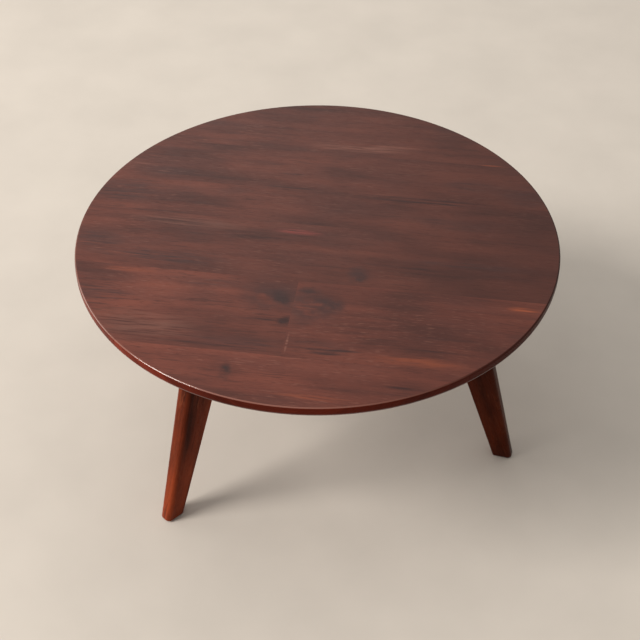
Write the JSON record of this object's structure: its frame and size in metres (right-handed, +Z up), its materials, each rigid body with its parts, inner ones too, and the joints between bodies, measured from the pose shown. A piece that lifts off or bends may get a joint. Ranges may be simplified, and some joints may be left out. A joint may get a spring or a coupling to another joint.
{
  "type": "round coffee table",
  "caption": "Low round coffee table in dark red-brown wood: board top with a rounded rim on splayed tapered legs, joined by a radial frame under the top.",
  "frame": {"origin": "on the floor, on the upright axis of the round top", "axes": "+Z up, +X along the boards of the top, +Y across them to the back"},
  "size_m": [0.762, 0.762, 0.406],
  "materials": {
    "lacquered_wood": "stained, satin lacquer",
    "frame_wood": "stained, thin matt lacquer",
    "zinc_steel": "zinc plated",
    "nylon": "moulded, matt"
  },
  "bodies": {
    "root": {"top_board_1": "lacquered_wood", "top_board_2": "lacquered_wood", "top_board_3": "lacquered_wood", "top_board_4": "lacquered_wood", "top_board_5": "lacquered_wood", "top_board_6": "lacquered_wood", "top_board_7": "lacquered_wood", "right_leg": "lacquered_wood", "back_leg": "lacquered_wood", "left_leg": "lacquered_wood", "right_rail": "frame_wood", "back_rail": "frame_wood", "left_rail": "frame_wood", "frame_hub": "frame_wood", "leg_pegs": "frame_wood", "top_screws": "zinc_steel", "right_glide": "nylon", "back_glide": "nylon", "left_glide": "nylon", "glide_nails": "zinc_steel"}
  },
  "joints": []
}
